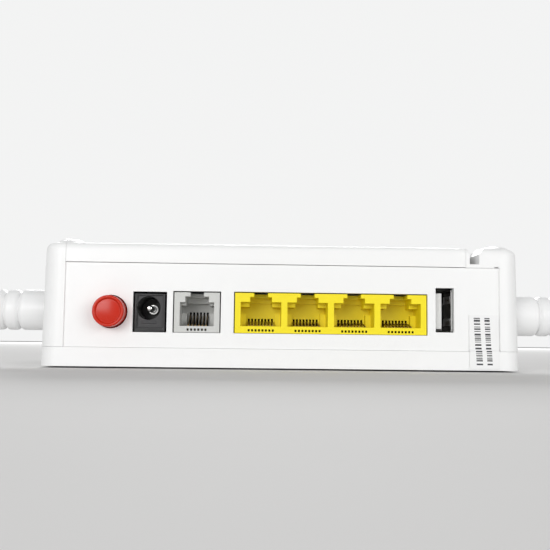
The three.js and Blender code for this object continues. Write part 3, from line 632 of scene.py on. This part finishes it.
def make_dc_jack():
    """Housing with a shallow pocket and a ledge in its face, and a round-nosed centre pin."""
    low, high, _ = span("dc_jack_housing")
    housing = copied("dc_jack_housing")
    combined(housing, [block("pocket", (low.x + 0.9, low.y - 1, low.z + 1.25),
                             (high.x - 0.6, low.y + 0.3, high.z - 0.6))])
    combined(housing, [block("ledge", (low.x + 2.2, low.y + 0.08, low.z + 2.5),
                             (high.x - 2.6, low.y + 0.6, low.z + 3.2))], "UNION")
    cleaned(housing.data)
    shown(softened(housing, 0.1), "dc_jack_housing", "dc_jack_housing")
    # The pocket's floor is painted near black as shade.
    floor = ((low.x + 0.8, low.y + 0.02, low.z + 1.2), (high.x, low.y + 0.34, high.z))
    shade_painted(housing, (0.04, 0.04, 0.042), [floor])

    low, high, middle = span("dc_jack_pin")
    reach = high.y - low.y
    profile = [(0, 0)] + arc((0.25, 0.75), 0.75, -90, 0, 8)
    profile += [(1.0, 9.6), (1.08, 9.84), (1.14, 9.84), (1.58, 9.84), (1.65, 9.9), (1.65, 10.5),
                (1.2, 10.5), (1.2, reach), (0, reach)]
    pin = turned("dc_jack_pin_finish", profile, "y", (middle.x, low.y, middle.z), 48)
    shown(softened(pin, 0.03, 40), "dc_jack_pin", "dc_jack_pin")
    pin.data.materials[0] = metal("polished_nickel", (0.92, 0.92, 0.91), 0.15, relief=0.02)


def make_modular_jacks():
    """Housings whose contact slots and lip holes are painted dark inside as shade; back is the
    slots' depth.
    """
    for node, colour, back in (("phone_jack_housing", (0.02, 0.02, 0.02), 12.4),
                               ("lan_jack_housing", (0.09, 0.04, 0.004), 11.4)):
        low, high, _ = span(node)
        slots = ((low.x, REAR_FACE + back + 0.05, low.z + 2), (high.x, high.y - 0.05, low.z + 7))
        holes = ((low.x + 0.4, low.y + 0.05, low.z + 0.45), (high.x - 0.4, low.y + 5, low.z + 1.2))
        # The slots and lip holes get painted shade: near black in the grey jack, dark brown in the
        # yellow ones.
        shade_painted(refined(node, 0.07), colour, (slots, holes))
    for node in ["phone_jack_contacts"] + [f"lan_jack_contacts_{i}" for i in range(1, 5)]:
        refined(node, 0.06)


def ribbon(name, path, half):
    """A thin strip: path holds (x, y, thickness towards -X) along Y, half is its half height."""
    return lofted(name, [[(x - t, y, -half), (x, y, -half), (x, y, half), (x - t, y, half)]
                         for x, y, t in path])


def ribbons(name, heights, path, half):
    """One piece of equal ribbons, one at each height."""
    strips = [moved(ribbon("strip", path, half), shift(0, 0, height)) for height in heights]
    return merged(name, strips)


def make_usb():
    """Shell, tongue, the tongue's four sprung contacts and the shell's two springs."""
    mouth, wall = span("usb_shell")[0].y, span("usb_shell")[1].x - 0.36
    shell = refined("usb_shell", 0.12, segments=3)
    # The shell's inside is painted near black as shade; the rim at the mouth keeps the tin's own
    # bright tone.
    shell.data.materials[0] = shaded_port_sheet("tinned_port_shaded_inside", (0.9, 0.9, 0.88), (0.035, 0.035, 0.03),
                                         wall, mouth)
    refined("usb_tongue", 0.12)
    low, high, middle = span("usb_tongue")
    face = low.x + 2.0
    path = [(face + out, y, 0.12) for out, y in (
        (0.02, low.y + 0.7), (0.26, low.y + 1.4), (0.3, low.y + 2.2), (0.1, low.y + 3.6),
        (0.1, high.y - 3.9))]
    contacts = ribbons("usb_contacts", [middle.z + z for z in (-3.5, -1, 1, 3.5)], path, 0.5)
    shown(softened(contacts, 0.03), "usb_tongue", slot="contact_gold")

    path = [(wall - out, mouth + y, thick) for out, y, thick in (
        (0, 0.8, 0.1), (0, 1.6, 0.2), (0.3, 3, 0.2), (0.62, 4.4, 0.2), (0.55, 5.4, 0.2),
        (0.1, 8.5, 0.2), (0, 9.6, 0.1))]
    springs = ribbons("usb_springs", [middle.z + z for z in (-3.4, 3.4)], path, 1.15)
    shown(softened(springs, 0.04), "usb_shell")


# ---- Antennas -------------------------------------------------------------------------------
def slab(name, size, radius, axis, length):
    """A bar along axis with a rounded-corner section, centred at the origin."""
    half_u, half_v = (side / 2 - radius for side in size)
    corner = arc((0, 0), radius, 0, 90, 5)
    section = []
    for sign_u, sign_v in ((1, 1), (-1, 1), (-1, -1), (1, -1)):
        points = corner if sign_u == sign_v else corner[::-1]
        section += [(sign_u * (half_u + u), sign_v * (half_v + v)) for u, v in points]
    return lofted(name, [[AXES[axis] @ Vector((u, v, end)) for u, v in section]
                         for end in (-length / 2, length / 2)])


# Distances along an antenna's axis from the middle of the casing; tongue and pin of the elbow;
# half sizes of the blade, and the heights where its foot widens and its tip closes.
NECK = {"flange": 72.7, "shaft": 4.2, "collar_end": 81.4, "pitch": 4.5, "rings": 3}
RINGS_END = NECK["collar_end"] + NECK["rings"] * NECK["pitch"]
TONGUE, PIN = 5, 1.5
BLADE = {"half": 7.0, "thick": 4.0, "lift": 1.6, "foot": 3.2, "tip": 6.9}
SLIVER = 0.003


def neck_profile(inner, radius):
    """Shaft, smooth collar and rounded rings with sharp grooves between them."""
    flange, shaft = NECK["flange"], NECK["shaft"]
    wide, deep = 1.3, 1.05
    points = [(0, inner), (shaft - 0.5, inner), (shaft - 0.5, inner + 2), (shaft - 1.2, inner + 2),
              (shaft - 1.2, inner + 3.4), (shaft, inner + 3.4), (shaft, flange)]
    points += arc((radius - 0.5, flange + 0.5), 0.5, -90, 0, 4)
    shares = (0, 0.2, 0.4, 0.6, 0.8, 0.93, 1)
    for i in range(NECK["rings"] + 1):
        groove = NECK["collar_end"] + i * NECK["pitch"]
        points += [(radius - deep * k * k, groove - wide + wide * k) for k in shares]
        if i < NECK["rings"]:
            points += [(radius - deep * k * k, groove + wide - wide * k) for k in shares[-2::-1]]
    return points + [(radius - 0.8, RINGS_END + 0.7), (radius - 0.8, RINGS_END + 1),
                     (0, RINGS_END + 1)]


def elbow_bore(x):
    """A tool that bores the hole for the elbow's pin."""
    radius, reach = PIN + 0.15, 9
    profile = [(0, -reach), (radius, -reach), (radius, reach), (0, reach)]
    return turned("bore", profile, "y", (x, 0, 0), 40)


def neck_shape(inner, elbow, radius):
    """The ringed base, which ends in a fork round the elbow."""
    neck = turned("neck", neck_profile(inner, radius), "x", (0, 0, 0), 72)
    rounding = arc((radius - 0.9, radius - 0.9), 0.9, 0, 90, 5)
    cheeks = turned("cheeks", mirrored(rounding + [(0, radius)]), "y", (elbow, 0, 0), 72)
    bridge = slab("bridge", (2 * radius, 2 * radius - 1.6), 1.6, "x", elbow - RINGS_END)
    moved(bridge, shift((elbow + RINGS_END) / 2, 0, 0))
    combined(neck, [cheeks, bridge], "UNION")
    gap = TONGUE / 2 + 0.3
    slot = block("slot", (elbow - radius - 1, -gap, -9), (elbow + 9, gap, 9))
    combined(neck, [slot, elbow_bore(elbow)])
    return neck


def paddle_ring(z, start, length):
    """A section of the blade at height z: a rounded rectangle, smaller at the foot and the tip."""
    taper = 1.06 - 0.2 * z / length
    foot = max(0.0, 1 - (z - start) / 3.0)
    tip = max(0.0, (z - length + BLADE["tip"]) / BLADE["tip"])
    narrowed = BLADE["half"] - 3.0 * (1 - math.sqrt(1 - foot ** 2))
    wide = narrowed * math.sqrt(max(0.0, 1 - tip ** 2)) * taper
    flat = BLADE["thick"] * (1 - 0.35 * foot ** 3) * (1 - 0.62 * max(0.0, tip) ** 3)
    ring, sides, power = [], 64, 2 / 3.4
    for i in range(sides):
        u, v = math.cos(TAU * i / sides), math.sin(TAU * i / sides)
        ring.append((wide * math.copysign(abs(u) ** power, u),
                     flat * math.copysign(abs(v) ** power, v), z))
    return ring


def blade_shape(length, radius):
    """A flat paddle with soft edges and a rounded tip, on the tongue that turns about the pin."""
    start, foot, tip = radius + BLADE["lift"], BLADE["foot"], BLADE["tip"]
    steps = [0, 0.12, 0.35, 0.8, 1.5, 2.4, foot]
    steps += [foot + (length - tip - start - foot) * k / 8 for k in range(1, 9)]
    heights = [start + step for step in steps]
    turns = (10, 20, 30, 40, 50, 60, 69, 77, 83, 87, 89.4)
    heights += [length - tip + tip * math.sin(math.radians(a)) for a in turns]
    paddle = lofted("paddle", [paddle_ring(z, start, length) for z in heights])
    root = slab("root", (2 * radius - 1.2, TONGUE), 0.5, "z", start + 1.5)
    moved(root, shift(0, 0, (start + 1.5) / 2))
    ends = arc((radius - 0.7, TONGUE / 2 - 0.5), 0.5, 0, 90, 4)
    knuckle = turned("knuckle", mirrored(ends + [(0, TONGUE / 2)]), "y", (0, 0, 0), 64)
    combined(paddle, [root, knuckle], "UNION")
    combined(paddle, [elbow_bore(0)])
    cleaned(paddle.data, SLIVER)
    return paddle


def make_antenna(side, label):
    """Base, blade and elbow pin of the antenna on the +X or -X side, given by side."""
    low, high, middle = span(f"antenna_base_{label}")
    radius = (high.y - low.y) / 2
    inner, far = sorted((abs(low.x), abs(high.x)))
    elbow = far - radius
    length = span(f"antenna_blade_{label}")[1].z - middle.z
    axis = shift(0, middle.y, middle.z) @ Matrix.Rotation(0 if side > 0 else math.pi, 4, "Z")
    at_elbow = axis @ shift(elbow, 0, 0)
    neck = moved(neck_shape(inner, elbow, radius), axis)
    cleaned(neck.data, SLIVER)
    blade = moved(blade_shape(length, radius), at_elbow)
    for node, shape in ((f"antenna_base_{label}", neck), (f"antenna_blade_{label}", blade)):
        shape.name = f"{node}_finish"
        shown(softened(shape, 0.12, 50), node, node)

    ends = arc((PIN - 0.4, radius - 0.7), 0.4, 0, 90, 4)
    outline = mirrored(ends + [(0.45, radius - 0.3), (0, radius - 0.45)])
    pin = turned(f"antenna_pin_{label}_finish", outline, "y", (0, 0, 0), 40)
    moved(pin, at_elbow)
    shown(softened(pin, 0.04, 50), f"antenna_pin_{label}", f"antenna_pin_{label}")
    refined(f"antenna_retainer_{label}", 0.12)
    refined(f"antenna_lead_{label}", 0.1, limit=60)


# ---- Board ----------------------------------------------------------------------------------
# Small parts fill these free areas of the board: X range, and Y range from the rear face.
FREE_AREAS = (
    ((-28, -12), (20, 50)),
    ((-48, -30), (92, 138)),
    ((-24, 22), (94, 138)),
    ((28, 52), (116, 138)),
)
CELL = 4.6


def on_board(x, y, half_x, half_y, top, height):
    """A block that stands on the board's top."""
    return block("small_part", (x - half_x, y - half_y, top),
                 (x + half_x, y + half_y, top + height))


def make_board():
    """The board's CAD parts, and small chips and capacitors scattered over its free areas."""
    refined("circuit_board", 0.1)
    refined("main_chip", 0.1)
    refined("heat_sink", 0.15)
    refined("wifi_shield", 0.3, segments=3)
    refined("lan_transformer", 0.2)
    for node in ("supply_capacitor_1", "supply_capacitor_2"):
        refined(node, 0.12, limit=30)
    for node in ("wlan_switch", "wps_switch", "reset_switch"):
        refined(node, 0.15)
    top = span("circuit_board")[1].z + 0.02
    scatter = random.Random(4)
    chips, passives = [], []
    for (x0, x1), (y0, y1) in FREE_AREAS:
        places = [(x0 + (i + 0.5) * CELL, REAR_FACE + y0 + (j + 0.5) * CELL)
                  for i in range(int((x1 - x0) / CELL)) for j in range(int((y1 - y0) / CELL))]
        for x, y in places:
            draw = scatter.random()
            if draw < 0.12:
                chips.append(on_board(x, y, 1.8, 1.5, top, 1.1))
            elif draw < 0.75:
                long, wide = (1.0, 0.5) if scatter.random() < 0.5 else (0.5, 1.0)
                passives += [on_board(x + aside, y, long, wide, top, 0.7) for aside in (-1.1, 1.1)]
    shown(softened(merged("board_chips", chips), 0.1), "main_chip")
    shown(softened(merged("board_capacitors", passives), 0.12), "main_chip", slot="insulator_white")


# ---- Fibre side and labels ------------------------------------------------------------------
def make_fibre_side():
    refined("optical_adapter", 0.25, segments=3)
    refined("optical_dust_plug", 0.25, segments=3)
    refined("optical_module", 0.3, segments=3)


def make_labels():
    """Film labels printed with rows of plain bars."""
    seal = refined("seal_label", 0.03)
    low = span("seal_label")[0]
    rows = [("X", low.x + centre, width, "Z", low.z + 1.2, low.z + 15.6, 0.05)
            for centre, width in ((3.1, 1.9), (6.2, 1.6))]
    seal.data.materials[0] = paper("printed_film", (0.88, 0.882, 0.88), rows)
    rating = refined("rating_label", 0.03)
    low, high, _ = span("rating_label")
    rows = [("Y", high.y - 6 - 5 * k, 1.6, "X", low.x + 5, low.x + end)
            for k, end in enumerate((52, 38, 46, 30))]
    rating.data.materials[0] = paper("printed_sheet", (0.86, 0.862, 0.86), rows)


make_casing()
make_feet()
make_screws()
make_power_button()
make_dc_jack()
make_modular_jacks()
make_usb()
make_antenna(-1, "left")
make_antenna(1, "right")
make_board()
make_fibre_side()
make_labels()


# ---- Studio ---------------------------------------------------------------------------------
def make_floor():
    """A wide pale floor, darker on the port panel's side as painted shade and paler beyond the
    terminal.
    """
    n = Nodes("pale_floor")
    far = n.ranged(n.axes()["Y"], 0, 1, 0, 1.2)
    # The darker near tone is painted shade on the floor on the port panel's side.
    shaded_near_tone = n.blended(n.noise(60, 4.0), (0.72, 0.715, 0.71), (0.75, 0.745, 0.74))
    tone = n.blended(far, shaded_near_tone, (0.86, 0.86, 0.855))
    n.set(Base_Color=tone, Roughness=0.9, Specular_IOR_Level=0.1)
    n.bump(n.noise(1.5, 3.0), 0.1, 0.1)
    half = 20000
    corners = [(-half, -half, 0), (half, -half, 0), (half, half, 0), (-half, half, 0)]
    floor = from_points("floor", corners, [(0, 1, 2, 3)])
    floor.data.materials.append(n.material)


def make_lamp(name, place, target, size, power):
    """A soft lamp that faces target and stays out of view; millimetres and watts."""
    data = bpy.data.lights.new(name, "AREA")
    data.shape = "RECTANGLE"
    data.size, data.size_y = (side * MM for side in size)
    data.energy = power
    lamp = bpy.data.objects.new(name, data)
    SCENE.collection.objects.link(lamp)
    lamp.location = Vector(place) * MM
    lamp.rotation_mode = "QUATERNION"
    lamp.rotation_quaternion = (Vector(target) - Vector(place)).to_track_quat("-Z", "Y")
    lamp.visible_camera = False


def make_world():
    """An even sky, brighter towards +Y, and plain colour management."""
    world = bpy.data.worlds.new("studio")
    SCENE.world = world
    world.use_nodes = True
    tree = world.node_tree
    split = tree.nodes.new("ShaderNodeSeparateXYZ")
    ramp = tree.nodes.new("ShaderNodeMapRange")
    ramp.interpolation_type = "SMOOTHSTEP"
    for socket, value in (("From Min", 0.5), ("From Max", 0.85), ("To Min", 0.4), ("To Max", 0.9)):
        ramp.inputs[socket].default_value = value
    direction = tree.nodes.new("ShaderNodeTexCoord").outputs["Generated"]
    tree.links.new(direction, split.inputs["Vector"])
    tree.links.new(split.outputs["Y"], ramp.inputs["Value"])
    sky = tree.nodes["Background"]
    sky.inputs["Color"].default_value = (0.997, 1.0, 0.998, 1)
    tree.links.new(ramp.outputs["Result"], sky.inputs["Strength"])
    SCENE.view_settings.view_transform = "Standard"
    SCENE.view_settings.look = "None"


make_floor()
make_world()
make_lamp("key", (-900, -2000, 560), (0, 0, 20), (1300, 900), 21)
make_lamp("fill", (1300, -1700, 460), (0, 0, 20), (1200, 700), 12)
make_lamp("back", (0, 4200, 1750), (0, 0, 0), (2600, 1200), 112)

bpy.context.view_layer.update()
